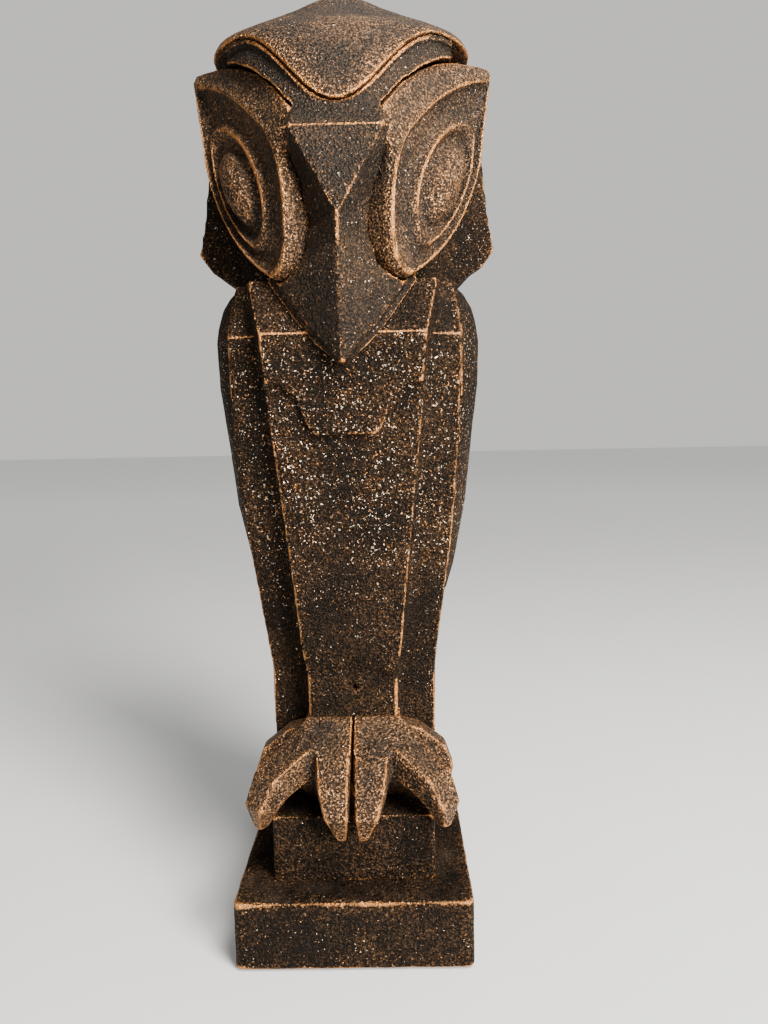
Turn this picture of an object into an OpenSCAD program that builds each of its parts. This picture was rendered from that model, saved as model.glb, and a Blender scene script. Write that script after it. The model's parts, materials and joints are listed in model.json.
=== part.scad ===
// Stylised owl figurine on a two-step plinth, cast in pieces that one tie rod draws together.
// Millimetres, +Z up, the owl faces -Y, and the origin is under the middle of the plinth.
// Left and right are the owl's own, so its left side is +X.

/* [Plinth] */
// Width of the bottom slab
slab_w = 80; // [76:1:84]
// Depth of the bottom slab
slab_d = 106; // [100:1:116]
// Height of the bottom slab's top face
slab_top = 24; // [21:0.1:26]
// Corner radius of the bottom slab
slab_r = 3; // [1:0.5:6]
// Width of the perch block
perch_w = 56; // [52:1:62]
// Depth of the perch block
perch_d = 80; // [76:1:86]
// Thickness of the felt pad
felt_t = 1.2; // [0.8:0.1:2]

/* [Body] */
// Width of the tail pillar behind the leg
pillar_w = 58.8; // [57:0.2:61]
// Width of the leg panel
leg_w = 31.6; // [29:0.2:34]
// Width of the chest panel at the shoulders
chest_top_w = 56.6; // [50:0.2:60]
// Width across the shoulders, from flank edge to flank edge
shoulder_w = 79.6; // [77:0.2:82]
// How far each wing swells out past the flank
wing_swell = 8.2; // [6:0.2:10]
// Thickness of the hollow castings' walls
wall = 6; // [5:0.5:8]
// How far the bib stands proud of the chest
bib_t = 2.2; // [1:0.1:3]

/* [Head] */
// Turn of each eye block away from straight ahead, in degrees
eye_turn = 48; // [46:1:50]
// Thickness of the eye blocks
eye_t = 14; // [10:1:16]
// Width of the open joint round each eye block
eye_joint = 0.7; // [0.4:0.1:1]
// Half length of the raised ring in each eye
ring_long = 25; // [22:0.5:27]
// Half width of the raised ring in each eye
ring_short = 12.5; // [10:0.5:14]
// Height of the crown's top
crown_top = 330; // [326:1:336]

/* [Hardware] */
// Diameter of the tie rod
rod_d = 8; // [6:0.5:9]
// Radial clearance round the rod and the screws
clear = 0.5; // [0.3:0.1:0.8]
// Shank diameter of the small screws
screw_d = 4; // [3:0.5:5]
// Diameter of the dowels and foot pins
pin_d = 5; // [4:0.5:6]

/* [Hidden] */
$fn = 48;

iron = [0.16, 0.12, 0.09];
bronzed_iron = [0.30, 0.20, 0.12];
steel = [0.55, 0.55, 0.55];
felt = [0.10, 0.30, 0.16];

perch_top = slab_top + 23.5;
leg_top = perch_top + 48.5;
shoulder_z = 210;
neck_z = 228;
crown_dip = 279;
crown_rim = 307;
split_y = 8;
leg_front = 25;
pillar_front = 14;
rod_y = 8;

// ---------- Helpers ----------

// Closed outline from a half outline that runs from the front centre round to the back centre
function both_sides(half) =
    concat(half, [for (i = [len(half) - 1 : -1 : 0]) if (half[i][0] > 0) [-half[i][0], half[i][1]]]);

// Lays a plan outline at a height
function at_height(outline, z) = [for (p = outline) [p[0], p[1], z]];

function middle(ring, i = 0) =
    i == len(ring) ? [0, 0, 0] : ring[i] / len(ring) + middle(ring, i + 1);

// Points along a curve that starts at a, is drawn towards b and ends at c, without its last point
function bend(a, b, c, steps) =
    [for (i = [0 : steps - 1]) let (t = i / steps) (1 - t) * (1 - t) * a + 2 * t * (1 - t) * b + t * t * c];

// Point that an end cap's triangles fan out from: the ring's middle, or at a given depth if it bends
function hub(ring, y) = let (m = middle(ring)) is_undef(y) ? m : [m[0], y, m[2]];

// Solid through rings of equal length, listed anticlockwise seen from the last ring
module loft(rings, hub_y = undef) {
    n = len(rings[0]);
    last = len(rings) - 1;
    low = n * (last + 1);
    points = concat([for (r = rings) each r], [hub(rings[0], hub_y), hub(rings[last], hub_y)]);
    sides = [
        for (i = [0 : last - 1], j = [0 : n - 1])
            let (a = i * n + j, b = i * n + (j + 1) % n)
                each [[a, b + n, b], [a, a + n, b + n]]
    ];
    bottom = [for (j = [0 : n - 1]) [j, (j + 1) % n, low]];
    top = [for (j = [0 : n - 1]) [last * n + (j + 1) % n, last * n + j, low + 1]];
    polyhedron(points, concat(sides, bottom, top));
}

// Prism of an outline drawn in front view, as x and z, between two depths
module front_prism(outline, y_front, y_back) {
    translate([0, y_back, 0])
        rotate([90, 0, 0])
            linear_extrude(y_back - y_front)
                polygon(outline);
}

module mirrored_pair() {
    children();
    mirror([1, 0, 0])
        children();
}

// Cylinder along Y from one depth to another
module along_y(d, y_from, y_to, x, z) {
    translate([x, y_from, z])
        rotate([-90, 0, 0])
            cylinder(d = d, h = y_to - y_from);
}

// ---------- Plinth ----------

module rounded_plate(w, d, r, h) {
    linear_extrude(h)
        union() {
            square([w - 2 * r, d], center = true);
            square([w, d - 2 * r], center = true);
            for (x = [-1, 1], y = [-1, 1])
                translate([x * (w / 2 - r), y * (d / 2 - r)])
                    circle(r);
        }
}

felt_inset = 4;
felt_recess = 0.7;
slab_bottom = felt_t - felt_recess;
nut_space_d = 24;
nut_space_top = 13;

module felt_pad() {
    color(felt)
        difference() {
            rounded_plate(slab_w - 2 * felt_inset, slab_d - 2 * felt_inset, 2, felt_t);
            translate([0, rod_y, -1])
                cylinder(d = nut_space_d, h = felt_t + 2);
        }
}

module base_slab() {
    color(iron)
        difference() {
            translate([0, 0, slab_bottom])
                rounded_plate(slab_w, slab_d, slab_r, slab_top - slab_bottom);
            translate([0, 0, slab_bottom - 1])
                rounded_plate(slab_w - 2 * felt_inset, slab_d - 2 * felt_inset, 2, felt_recess + 1);
            translate([0, rod_y, 0])
                cylinder(d = nut_space_d, h = nut_space_top);
            rod_space(rod_d + 2 * clear);
            perch_dowel_spaces();
        }
}

module perch_block() {
    color(iron)
        difference() {
            translate([0, 0, slab_top])
                rounded_plate(perch_w, perch_d, 1.5, perch_top - slab_top);
            rod_space(rod_d + 2 * clear);
            perch_dowel_spaces();
            body_dowel_spaces();
        }
}

// ---------- Body ----------

leg_x = leg_w / 2;
pillar_x = pillar_w / 2;
chest_x = chest_top_w / 2;
shoulder_x = shoulder_w / 2;

// Half width of the flanks at each height, which the front and back castings share
flank_rows = [
    [perch_top, pillar_x], [leg_top - 3, pillar_x + 0.8], [leg_top + 4, pillar_x + 1.6], [139, 36.1],
    [178, shoulder_x - 0.9], [shoulder_z, shoulder_x], [neck_z, 37.5]
];

// At each of those heights: chest or leg edge, inner corner and depth of the flank's edge
front_rows = [
    [leg_x, leg_front, leg_x + 0.4, pillar_front, pillar_front - 1],
    [leg_x + 0.3, leg_front, leg_x + 0.8, pillar_front + 1.5, pillar_front],
    [leg_x + 1.6, leg_front + 1.6, leg_x + 2.4, pillar_front + 3, pillar_front + 1],
    [21.2, 28.8, 22.4, 21.8, 19.6],
    [25.2, 31.7, 26.6, 26, 23.8],
    [chest_x, 34, chest_x + 1.6, 29, 26.6],
    [32.2, 27, 33.2, 22, 19]
];

// Half outline of the body's front, grown or shrunk, as far back as the joint between the halves
function front_outline(i, grow = 0, joint_y = split_y) =
    let (row = front_rows[i], side = flank_rows[i][1] + grow)
        [
            [0, -row[1] - grow], [row[0] + grow, -row[1] - grow], [row[2] + grow, -row[3] - grow],
            [side, -row[4] - grow], [side, joint_y], [0, joint_y]
        ];

last_row = len(flank_rows) - 1;

// Height of a hollow's row: the end rows leave a wall above and below
function hollow_z(i) = i == 0 ? perch_top + wall : i == last_row ? neck_z - wall : flank_rows[i][0];

module front_solid() {
    loft([for (i = [0 : last_row]) at_height(both_sides(front_outline(i)), flank_rows[i][0])], 0);
}

web_t = 6;

// Hollow behind the front casting's walls, with a stiffening web down the middle
module front_hollow() {
    difference() {
        loft([
            for (i = [0 : last_row])
                at_height(both_sides(front_outline(i, -wall, split_y + 1)), hollow_z(i))
        ], 0);
        translate([-web_t / 2, -60, perch_top])
            cube([web_t, 60, neck_z - perch_top]);
        body_bosses();
    }
}

// Raised bib on the upper chest
module bib() {
    half = [[chest_x + 3, neck_z], [chest_x + 3, 194.5], [21, 193], [16, 188.5], [12.5, 179], [10, 176.5]];
    outline = concat(half, [for (i = [len(half) - 1 : -1 : 0]) [-half[i][0], half[i][1]]]);
    intersection() {
        loft([
            for (i = [0 : last_row])
                let (x = front_rows[i][0] - 0.4, y = front_rows[i][1] + bib_t)
                    at_height([[-x, -y], [x, -y], [x, -y + 6], [-x, -y + 6]], flank_rows[i][0])
        ]);
        front_prism(outline, -60, 0);
    }
}

pinhole_z = 87.3;
lump_d = 9;
lump_z = 95;

module body_front() {
    color(iron)
        difference() {
            union() {
                front_solid();
                bib();
                translate([leg_x - 2.8, 2.4 - leg_front, lump_z])
                    sphere(d = lump_d);
            }
            front_hollow();
            rod_space(rod_d + 2 * clear);
            body_screw_spaces(screw_d + 0.1);
            wing_screw_spaces();
            body_dowel_spaces();
            head_dowel_spaces();
            foot_pin_spaces();
            along_y(1.6, -30, -20, 0.8, pinhole_z);
        }
}

// At each height of the flanks: corner depth, then half width and depth of the back
back_rows = [
    [22, 22, 35], [22, 22, 35], [22, 22, 35], [22, 24, 35.5], [23, 26, 37], [24, 28, 38], [20, 26, 36]
];

function back_outline(i, grow = 0, joint_y = split_y) =
    let (row = back_rows[i], side = flank_rows[i][1] + grow)
        [
            [0, joint_y], [side, joint_y], [side, row[0] + grow / 2], [row[1] + grow, row[2] + grow],
            [0, row[2] + grow]
        ];

module back_solid() {
    loft([for (i = [0 : last_row]) at_height(both_sides(back_outline(i)), flank_rows[i][0])]);
}

module back_hollow() {
    difference() {
        loft([
            for (i = [0 : last_row])
                at_height(both_sides(back_outline(i, -wall, split_y - 1)), hollow_z(i))
        ]);
        translate([-web_t / 2, 16, perch_top])
            cube([web_t, 40, neck_z - perch_top]);
        body_bosses();
    }
}

tail_t = 2.6;

// Raised tail that runs down the back to the perch
module tail() {
    half = [[13, perch_top], [16.5, 92], [12, 150], [0, 168]];
    outline = concat(half, [for (i = [2 : -1 : 0]) [-half[i][0], half[i][1]]]);
    intersection() {
        loft([
            for (i = [0 : last_row])
                let (x = back_rows[i][1], y = back_rows[i][2] + tail_t)
                    at_height([[-x, y - 8], [x, y - 8], [x - 4, y], [-x + 4, y]], flank_rows[i][0])
        ]);
        front_prism(outline, 0, 60);
    }
}

module body_back() {
    color(iron)
        difference() {
            union() {
                back_solid();
                tail();
            }
            back_hollow();
            rod_space(rod_d + 2 * clear);
            body_screw_spaces(screw_d + 2 * clear);
            body_screw_heads(screw_head_d + 2 * clear, 8);
        }
}

// Rows of height, front edge, back edge, flank side and how far the wing swells past it
wing_rows = [
    [108, 6, 20, 31, 1.6],
    [117, -1.5, 23.4, 32.7, 3.4],
    [127, -8, 26, 34, 4.8],
    [151, -16, 28, 36.9, 6.2],
    [178, -21, 30, shoulder_x - 1.2, wing_swell - 1],
    [194, -23, 30.4, shoulder_x - 0.6, wing_swell + 0.4],
    [shoulder_z, -24, 30, shoulder_x - 0.3, wing_swell + 0.5],
    [216.5, -21.6, 29.4, 38.8, wing_swell + 0.4],
    [222, -18, 28, 38, wing_swell - 0.1],
    [226.5, -14, 26, 37, wing_swell - 1.6],
    [230, -10, 24, 36, 4.2]
];
wing_steps = 7;

function wing_outline(row) =
    let (front = [row[3], row[1]], back = [row[3], row[2]], out = [row[3] + 2 * row[4], (row[1] + row[2]) / 2 - 4])
        concat(bend(front, out, back, wing_steps), [back, [row[3] - 0.6, (row[1] + row[2]) / 2]]);

module wing(side) {
    color(iron)
        difference() {
            loft([
                for (row = wing_rows)
                    at_height([
                        for (i = [0 : wing_steps + 1])
                            let (p = wing_outline(row)[side > 0 ? i : wing_steps + 1 - i])
                                [side * p[0], p[1]]
                    ], row[0])
            ]);
            front_solid();
            back_solid();
            wing_screw_spaces();
        }
}

module wing_left() {
    wing(1);
}

module wing_right() {
    wing(-1);
}

// ---------- Feet ----------

// Solid along a toe: stations hold a centre, a width and a thickness, and side is the level cross direction
module toe(stations, side) {
    n = len(stations);
    function heading(i) = stations[min(i + 1, n - 1)][0] - stations[max(i - 1, 0)][0];
    loft([
        for (i = [0 : n - 1])
            let (
                s = stations[i], f = heading(i) / norm(heading(i)),
                up = cross(f, side) / norm(cross(f, side)), w = s[1] / 2, t = s[2] / 2
            )
                [for (p = [[-w, -t], [w, -t], [w, 0.6 * t], [0.86 * w, t], [-0.86 * w, t], [-w, 0.6 * t]])
                    s[0] + side * p[0] + up * p[1]]
    ]);
}

foot_gap = 0.3;
palm_corners = [[1, -38.6, 69.5], [13.8, -38.4, 69.8], [22.6, -31, 70.6]];

// Upright section across the foot at a depth
function foot_section(y, x, low, high) = [[foot_gap, y, low], [x, y, low], [x, y, high], [foot_gap, y, high]];

module foot_casting() {
    difference() {
        union() {
            // Palm
            loft([
                foot_section(-20, leg_x + 1, perch_top, 78),
                foot_section(-25.5, leg_x + 0.5, perch_top, 77),
                foot_section(-38, 20.4, 58, 69.7)
            ]);
            hull() {
                translate([0, -26, 60])
                    cube([leg_x + 0.5, 4, 17]);
                for (p = palm_corners)
                    translate([p[0], p[1], p[2] - 10])
                        cylinder(d = 2, h = 10, $fn = 16);
            }
            // Inner toe
            toe([
                [[6.4, -30, 66], 12.6, 12], [[6.6, -38.5, 63.7], 12.8, 11], [[6, -46, 57.8], 11, 10],
                [[5, -48.2, 51.5], 8.4, 8], [[3.5, -46.4, 42.7], 3, 3.2]
            ], [1, 0, 0]);
            // Outer toe
            toe([
                [[9, -25, 67.5], 15, 10], [[18.6, -34.2, 65.6], 14.6, 9.6], [[27.4, -41.8, 60], 12.6, 9.4],
                [[30.6, -44.4, 53.2], 9.6, 8], [[30.8, -43.6, 45.6], 3.6, 3.6]
            ], [0.72, 0.69, 0]);
            // Side toe
            toe([
                [[12, -20, 70], 10, 10], [[22, -19.6, 67.4], 9.8, 9.4], [[29.8, -20, 62], 9, 8.6],
                [[32.4, -20, 56], 7.4, 7], [[32.8, -20, 49.8], 3.2, 3.4]
            ], [0, 1, 0]);
        }
        // Room for the leg, the pillar and the perch
        translate([-1, -leg_front, 40])
            cube([leg_x + 1.05, 60, 60]);
        translate([-1, -pillar_front - 0.5, 40])
            cube([pillar_x + 1.05, 60, 60]);
        translate([-1, -perch_d / 2 - 0.05, 30])
            cube([perch_w / 2 + 1.05, 60, perch_top - 30]);
        translate([foot_gap - 10, -80, 20])
            cube([10, 100, 80]);
        foot_pin_spaces();
    }
}

module foot_left() {
    color(bronzed_iron)
        foot_casting();
}

module foot_right() {
    color(bronzed_iron)
        mirror([1, 0, 0])
            foot_casting();
}

// ---------- Head ----------

eye_rim = [17, -42];
eye_centre = [29.5, 260.5];
ring_lean = 34;
eye_lip = 2.5;
seat = [eye_rim[0] - eye_t * sin(eye_turn), eye_rim[1] + eye_t * cos(eye_turn)];

// Depth of the plane that the eye blocks are seated on
function seat_y(x) = seat[1] + (x - seat[0]) * tan(eye_turn);

// Outline of an eye block on its own face: outward distance and height
eye_outline = concat(
    bend([54, 302], [30, 296], [8, 273], 7), bend([8, 273], [-0.5, 262], [-0.5, 244], 6),
    bend([-0.5, 244], [-1.5, 228], [9, 227.5], 6), bend([9, 227.5], [37.5, 242], [48, 272], 8),
    bend([48, 272], [51, 290], [54, 302], 4)
);

// Turns a shape drawn on the eye's own face into place on the owl's left
module on_eye_face() {
    translate([eye_rim[0], eye_rim[1], 0])
        rotate([90, 0, eye_turn])
            children();
}

function grown(p, grow) = p + (p - eye_centre) * grow / norm(p - eye_centre);

// How far the block spreads outside its face's outline, by direction from the eye's centre in degrees
eye_flare = [[-180, 1], [40, 1], [62, 5], [90, 9], [120, 10], [152, 10], [168, 2.4], [180, 1]];

function flare(p) = lookup(atan2(p[1] - eye_centre[1], p[0] - eye_centre[0]), eye_flare);

// Outline of the spread part of a block at a depth behind its face
function eye_section(depth, gap = 0) =
    [for (p = eye_outline) let (q = grown(p, flare(p) + gap)) [q[0], q[1], -depth]];

module eye_pocket() {
    on_eye_face()
        loft([eye_section(eye_t, eye_joint), eye_section(-30, eye_joint)]);
}

// Distance from the centre to the ring's crest in a direction
function ring_reach(p) =
    let (
        d = p - eye_centre, along = d[0] * sin(ring_lean) + d[1] * cos(ring_lean),
        across = d[0] * cos(ring_lean) - d[1] * sin(ring_lean)
    )
        norm(d) / sqrt(pow(along / ring_long, 2) + pow(across / ring_short, 2));

// Ring of the eye's relief: reach as a share of the crest's, the most as a share of the rim's, height
eye_relief = [
    [9, 1, 0], [9, 0.95, 0.3], [9, 0.905, -1.6], [1.32, 0.88, -3], [1.14, 0.8, -2.8], [1.03, 0.76, -0.8],
    [0.97, 0.74, -0.2], [0.9, 0.7, -0.7], [0.8, 0.66, -3], [0.7, 0.6, -3.4], [0.62, 0.5, -1.6],
    [0.46, 0.4, 1], [0.25, 0.2, 2.4], [0.05, 0.04, 2.9]
];

module eye_block(flip) {
    color(iron)
        difference() {
            mirror([flip, 0, 0])
                on_eye_face()
                    loft(concat(
                        [eye_section(eye_t), eye_section(eye_lip)],
                        [
                            for (r = eye_relief)
                                [
                                    for (p = eye_outline)
                                        let (
                                            d = p - eye_centre,
                                            reach = min(ring_reach(p) * r[0], norm(d) * r[1]),
                                            q = eye_centre + d * reach / norm(d)
                                        )
                                            [q[0], q[1], r[2]]
                                ]
                        ]
                    ));
            eye_screw_spaces();
        }
}

module eye_block_left() {
    eye_block(0);
}

module eye_block_right() {
    eye_block(1);
}

// Dome of the crown: rows of height, half width, front and back depth
dome_rows = [
    [262, 44, 46.5, 41], [272, 44.6, 45.2, 41.3], [279, 45, 44, 41.6], [286, 45.2, 42.6, 41.6],
    [293, 45.4, 40.4, 41.4], [300, 45.6, 37, 41], [crown_rim, 45.4, 31.8, 38.6], [310.5, 44, 27.4, 36],
    [314, 37.8, 22.6, 31.4], [318, 28.6, 17.8, 25.5], [322, 20, 13, 19.5], [326, 12.4, 8.8, 13.5],
    [329, 6.4, 5, 7.6], [crown_top, 2.6, 2.2, 3]
];
dome_power = 2.3;
dome_steps = 44;

function dome_ring(row, inset = 0) = [
    for (i = [0 : dome_steps - 1])
        let (a = 360 * i / dome_steps, s = sin(a), c = -cos(a), y = c < 0 ? row[2] : row[3])
            [
                (row[1] - inset) * sign(s) * pow(abs(s), 2 / dome_power),
                (y - inset) * sign(c) * pow(abs(c), 2 / dome_power), row[0]
            ]
];

// Height of the crown's rim, which dips in a U over the forehead
function rim_z(x) =
    abs(x) < 34 ? crown_dip + (crown_rim - crown_dip) * (1 - cos(180 * abs(x) / 34)) / 2 : crown_rim;

visor_back = -20;

// All the room above the crown's rim
module crown_room() {
    front_prism(concat([for (x = [-34 : 4 : 34]) [x, rim_z(x)]], [[80, crown_rim], [80, 360], [-80, 360], [-80, crown_rim]]),
        -80, visor_back);
    translate([-80, visor_back - 0.01, crown_rim])
        cube([160, 110, 60]);
}

module crown_cap() {
    color(bronzed_iron)
        difference() {
            intersection() {
                loft([for (row = dome_rows) dome_ring(row)]);
                crown_room();
            }
            rod_space(rod_d + 0.1);
        }
}

// Rows of height, then front, seat end, cheek edge, cheek back, back corner and back centre
skull_rows = [
    [neck_z, 24, [30, -8], [37, -1], [37, 19], [26, 34], 36],
    [232, 31, [36, 0], [42, 5], [42, 21], [27, 36], 38],
    [238, 32, [39, 3], [51, 5.5], [48, 20], [28, 37.5], 39.5],
    [244, 32, [40, 4], [55.2, 5], [51, 20], [29, 38.5], 40.5],
    [255, 32, [40.6, 5], [53.4, 7], [49.5, 22], [30, 39], 41],
    [272, 32, [40.6, 5], [51.8, 9], [47.5, 24], [30, 39.5], 41.2],
    [288, 32, [40, 4.6], [50, 9.5], [45, 25], [29, 38], 40],
    [300, 31, [39, 3.6], [44, 9], [43, 23], [28, 35], 38],
    [crown_rim, 28, [38, 2.4], [42.6, 8], [41.4, 21], [26, 32.6], 35.5]
];

function skull_outline(row) =
    let (x = seat[0] * row[1] / 32)
        [
            [0, -row[1]], [x, -row[1]], [row[2][0], min(seat_y(row[2][0]), row[2][1])], row[3], row[4], row[5],
            [0, row[6]]
        ];

module skull_solid() {
    difference() {
        loft([for (row = skull_rows) at_height(both_sides(skull_outline(row)), row[0])]);
        crown_room();
    }
}

pocket_d = 30;
pocket_x = 21;
pocket_y = 12;
pocket_z = 242;

module head_shell() {
    color(iron)
        difference() {
            skull_solid();
            mirrored_pair()
                eye_pocket();
            mirrored_pair()
                translate([pocket_x, pocket_y, pocket_z])
                    cylinder(d = pocket_d, h = 80);
            rod_space(rod_d + 2 * clear);
            head_dowel_spaces();
            mask_screw_spaces();
            eye_screw_spaces();
        }
}

// Beak wedge: rows of height, ridge depth, half width of the flat facet, and the wedge's outer edge
beak_rows = [
    [199.5, 42.5, 0.4, [0.9, 41.6]], [206, 44.8, 0.4, [6, 40.8]], [212, 46.4, 0.4, [11.4, 39.2]],
    [220, 48.2, 0.4, [17, 36.4]], [227, 49.2, 0.4, [22, 33.6]], [235, 49.8, 0.4, [20, 29.5]],
    [244, 50, 0.6, [18, 26]], [256, 48, 6.8, [19, 27]], [269, 45.8, 13.9, [22, 30]],
    [270.8, 46, 14.6, [23, 31]], [276, 42.6, 14, [23, 30]]
];
beak_back = 20;
bead_w = 2.8;
bead_drop = 3.2;

module beak_wedge() {
    loft([
        for (row = beak_rows)
            at_height(both_sides([
                [0, -row[1]], [row[2], -row[1]], [row[3][0], -row[3][1]], [row[3][0], -beak_back], [0, -beak_back]
            ]), row[0])
    ]);
}

// Raised bead along both sides of the beak, a little behind its faces
module beak_beads() {
    loft([
        for (i = [0 : 5])
            let (row = beak_rows[i], x = row[3][0] + (i == 0 ? 0.6 : bead_w), y = row[3][1] - bead_drop)
                at_height([[-x, -y], [x, -y], [x, -beak_back], [-x, -beak_back]], row[0])
    ]);
}

// Height and how far the forehead lies inside the dome: it comes forward to the brow
forehead_rows = [[270.5, -0.7], [279, 1.9], [287, 2.7], [293, 3], [300, 3], [crown_rim, 3]];
lip_inset = 1.3;
lip_drop = 2.4;

// Row of the dome at any height
function dome_row(z) = [
    z, lookup(z, [for (r = dome_rows) [r[0], r[1]]]), lookup(z, [for (r = dome_rows) [r[0], r[2]]]),
    lookup(z, [for (r = dome_rows) [r[0], r[3]]])
];

// Forehead band between the eye blocks, the brow and the crown, with a narrow lip under the crown's rim
module forehead() {
    intersection() {
        union() {
            loft([for (row = forehead_rows) dome_ring(dome_row(row[0]), row[1])]);
            intersection() {
                loft([for (row = forehead_rows) dome_ring(dome_row(row[0]), lip_inset)]);
                translate([0, 0, -lip_drop])
                    crown_room();
            }
        }
        translate([-38, -60, 270.5])
            cube([76, 60 + visor_back + 14, 38]);
    }
}

module face_mask() {
    color(iron)
        difference() {
            union() {
                beak_wedge();
                beak_beads();
                forehead();
            }
            skull_solid();
            front_solid();
            bib();
            crown_room();
            mirrored_pair()
                eye_pocket();
            mask_screw_spaces();
        }
}

// ---------- Hardware ----------

rod_from = 5;
rod_to = 320;
nut_h = 6.5;
nut_across = 13;
washer_t = 1.6;

module rod_space(d) {
    translate([0, rod_y, 1])
        cylinder(d = d, h = rod_to - 1 + 1);
}

module tie_rod() {
    color(steel)
        translate([0, rod_y, rod_from])
            cylinder(d = rod_d, h = rod_to - rod_from);
}

module rod_washer() {
    color(steel)
        translate([0, rod_y, nut_space_top - washer_t])
            difference() {
                cylinder(d = 20, h = washer_t);
                translate([0, 0, -1])
                    cylinder(d = rod_d + 0.6, h = washer_t + 2);
            }
}

module rod_nut() {
    color(steel)
        translate([0, rod_y, nut_space_top - washer_t - nut_h])
            difference() {
                cylinder(d = nut_across / cos(30), h = nut_h, $fn = 6);
                translate([0, 0, -1])
                    cylinder(d = rod_d + 0.1, h = nut_h + 2);
            }
}

// Upright dowels across a joint: depth reaches this far each way
dowel_half = 5.5;

module upright_dowels(places, z, d) {
    for (p = places)
        translate([p[0], p[1], z - dowel_half])
            cylinder(d = d, h = 2 * dowel_half);
}

perch_dowel_places = [[0, -26], [0, 30]];
body_dowel_places = [[-20, 0], [20, 0]];
head_dowel_places = [[-22, 0], [22, 0]];
dowel_fit = 0.1;

module perch_dowels() {
    color(steel)
        upright_dowels(perch_dowel_places, slab_top, pin_d);
}

module perch_dowel_spaces() {
    upright_dowels(perch_dowel_places, slab_top, pin_d + dowel_fit);
}

module body_dowels() {
    color(steel)
        upright_dowels(body_dowel_places, perch_top, pin_d);
}

module body_dowel_spaces() {
    upright_dowels(body_dowel_places, perch_top, pin_d + dowel_fit);
}

module head_dowels() {
    color(steel)
        upright_dowels(head_dowel_places, neck_z, pin_d);
}

module head_dowel_spaces() {
    upright_dowels(head_dowel_places, neck_z, pin_d + dowel_fit);
}

screw_head_d = 8;
screw_head_t = 4;

// Places of the screws that close the body: side, height and the depth of their heads
body_screw_places = [[22, 66, 30], [22.5, 190, 30]];
body_screw_tip = -5;

module body_screw_spaces(d) {
    for (p = body_screw_places)
        mirrored_pair()
            along_y(d, body_screw_tip, p[2] + 1, p[0], p[1]);
}

module body_screw_heads(d, h) {
    for (p = body_screw_places)
        mirrored_pair()
            along_y(d, p[2], p[2] + h, p[0], p[1]);
}

module body_bosses() {
    for (p = body_screw_places)
        mirrored_pair()
            along_y(12, -20, 40, p[0], p[1]);
}

module body_screws() {
    color(steel) {
        for (p = body_screw_places)
            mirrored_pair()
                union() {
                    along_y(screw_d, body_screw_tip + 0.5, p[2], p[0], p[1]);
                    along_y(screw_head_d, p[2], p[2] + screw_head_t, p[0], p[1]);
                }
    }
}

// Wing screws run outward through the flank walls: height, depth and where the head bears
wing_screw_places = [[150, -1, 30.8], [204, -1, 33.6]];
wing_screw_grip = 11;

module wing_screw_at(p, d, from, to) {
    translate([from, p[1], p[0]])
        rotate([0, 90, 0])
            cylinder(d = d, h = to - from);
}

module wing_screw_spaces() {
    for (p = wing_screw_places)
        mirrored_pair()
            wing_screw_at(p, screw_d + dowel_fit, p[2] - 6, p[2] + wing_screw_grip + 0.5);
}

module wing_screws() {
    color(steel) {
        for (p = wing_screw_places)
            mirrored_pair()
                union() {
                    wing_screw_at(p, screw_d, p[2] - 0.5, p[2] + wing_screw_grip);
                    wing_screw_at(p, 6.5, p[2] - 3, p[2] - 0.5);
                }
    }
}

// Pins that hold each foot to the leg
foot_pin_places = [[4, 62], [11.5, 62]];

module foot_pin_row(d) {
    for (p = foot_pin_places)
        mirrored_pair()
            along_y(d, -32, -19.5, p[0], p[1]);
}

module foot_pins() {
    color(steel)
        foot_pin_row(screw_d);
}

module foot_pin_spaces() {
    foot_pin_row(screw_d + dowel_fit);
}

// Screws from the skull's pockets into the mask and the eye blocks
mask_screw_z = [248, 262];

module mask_screw_row(d) {
    for (z = mask_screw_z)
        along_y(d, -40, -22, 0, z);
}

module mask_screws() {
    color(steel)
        mask_screw_row(screw_d);
}

module mask_screw_spaces() {
    mask_screw_row(screw_d + dowel_fit);
}

module eye_screw_row(d) {
    mirrored_pair()
        on_eye_face()
            translate([26, 262, -eye_t - 9])
                cylinder(d = d, h = 16);
}

module eye_screws() {
    color(steel)
        eye_screw_row(screw_d);
}

module eye_screw_spaces() {
    eye_screw_row(screw_d + dowel_fit);
}

// ---------- Assembly ----------

felt_pad();
base_slab();
perch_block();
perch_dowels();
body_front();
body_back();
body_dowels();
body_screws();
wing_left();
wing_right();
wing_screws();
foot_left();
foot_right();
foot_pins();
head_shell();
head_dowels();
face_mask();
mask_screws();
eye_block_left();
eye_block_right();
eye_screws();
crown_cap();
tie_rod();
rod_nut();
rod_washer();
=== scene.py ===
"""Looks of a cast-iron owl figurine, built round its CAD frame: castings, finishes, stage and camera."""

import json
import math

import bmesh
import bpy
import numpy as np
from bpy.props import (
    FloatProperty,
    FloatVectorProperty,
    IntProperty,
    PointerProperty,
)
from bpy.types import Operator, Panel, PropertyGroup
from mathutils import Matrix, Vector


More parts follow.
